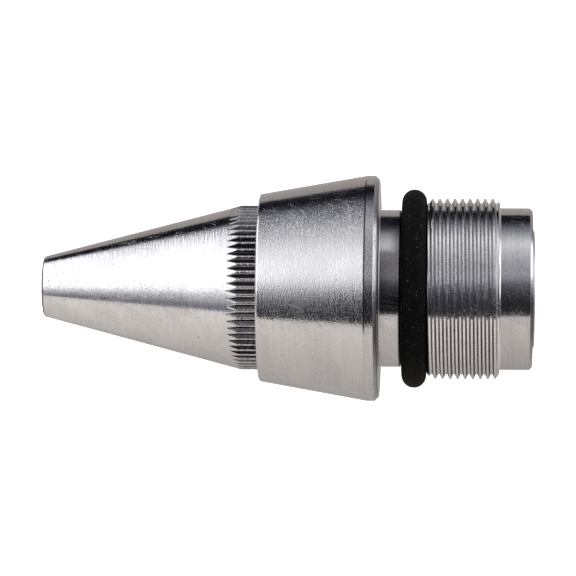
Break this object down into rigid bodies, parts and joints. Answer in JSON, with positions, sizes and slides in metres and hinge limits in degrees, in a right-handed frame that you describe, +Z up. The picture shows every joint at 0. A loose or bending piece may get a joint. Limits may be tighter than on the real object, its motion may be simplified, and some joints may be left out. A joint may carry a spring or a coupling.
{
  "type": "live center",
  "caption": "Screw-in live centre: a blunt rotating nose cone with a knurled base, carried on ball bearings in a tapered steel housing with a threaded shank and an O-ring.",
  "frame": {"origin": "on the spindle axis, in the plane of the collar's rear shoulder, which seats against the holder", "axes": "+X along the spindle axis from the nose to the threaded rear end, +Z up"},
  "size_m": [0.0652, 0.03, 0.03],
  "materials": {
    "housing_steel": "satin turned",
    "cone_steel": "fine turned",
    "plug_steel": "faced",
    "spindle_steel": "ground",
    "bearing_steel": "polished",
    "cage_brass": "machined",
    "spring_steel": "oil blackened",
    "fastener_steel": "plain",
    "rubber": "matt moulded"
  },
  "bodies": {
    "housing": {"housing_body": "housing_steel", "o_ring": "rubber", "front_seal": "rubber", "front_retaining_ring": "spring_steel", "front_bearing_outer_ring": "bearing_steel", "thrust_housing_washer": "bearing_steel", "rear_bearing_outer_ring": "bearing_steel", "preload_wave_washer": "spring_steel", "rear_plug": "plug_steel"},
    "spindle": {"nose_cone": "cone_steel", "spindle": "spindle_steel", "front_bearing_inner_ring": "bearing_steel", "spacer_sleeve": "fastener_steel", "thrust_shaft_washer": "bearing_steel", "rear_bearing_inner_ring": "bearing_steel", "lock_washer": "fastener_steel", "lock_nut": "fastener_steel"},
    "front_cage": {"front_bearing_cage": "cage_brass", "front_bearing_ball_1": "bearing_steel", "front_bearing_ball_2": "bearing_steel", "front_bearing_ball_3": "bearing_steel", "front_bearing_ball_4": "bearing_steel", "front_bearing_ball_5": "bearing_steel", "front_bearing_ball_6": "bearing_steel", "front_bearing_ball_7": "bearing_steel"},
    "thrust_cage": {"thrust_bearing_cage": "cage_brass", "thrust_bearing_ball_1": "bearing_steel", "thrust_bearing_ball_2": "bearing_steel", "thrust_bearing_ball_3": "bearing_steel", "thrust_bearing_ball_4": "bearing_steel", "thrust_bearing_ball_5": "bearing_steel", "thrust_bearing_ball_6": "bearing_steel", "thrust_bearing_ball_7": "bearing_steel", "thrust_bearing_ball_8": "bearing_steel", "thrust_bearing_ball_9": "bearing_steel"},
    "rear_cage": {"rear_bearing_cage": "cage_brass", "rear_bearing_ball_1": "bearing_steel", "rear_bearing_ball_2": "bearing_steel", "rear_bearing_ball_3": "bearing_steel", "rear_bearing_ball_4": "bearing_steel", "rear_bearing_ball_5": "bearing_steel", "rear_bearing_ball_6": "bearing_steel", "rear_bearing_ball_7": "bearing_steel"}
  },
  "joints": [
    {"name": "spindle_spin", "type": "hinge", "parent": "housing", "child": "spindle", "pos_m": [0, 0, 0], "axis": [1, 0, 0], "continuous": true},
    {"name": "front_cage_spin", "type": "hinge", "parent": "housing", "child": "front_cage", "pos_m": [-0.0078, 0, 0], "axis": [1, 0, 0], "continuous": true},
    {"name": "thrust_cage_spin", "type": "hinge", "parent": "housing", "child": "thrust_cage", "pos_m": [0.0002, 0, 0], "axis": [1, 0, 0], "continuous": true},
    {"name": "rear_cage_spin", "type": "hinge", "parent": "housing", "child": "rear_cage", "pos_m": [0.0106, 0, 0], "axis": [1, 0, 0], "continuous": true}
  ],
  "couplings": [
    {"joint": "front_cage_spin", "follows": "spindle_spin", "ratio": 0.3677},
    {"joint": "thrust_cage_spin", "follows": "spindle_spin", "ratio": 0.5},
    {"joint": "rear_cage_spin", "follows": "spindle_spin", "ratio": 0.3488}
  ]
}
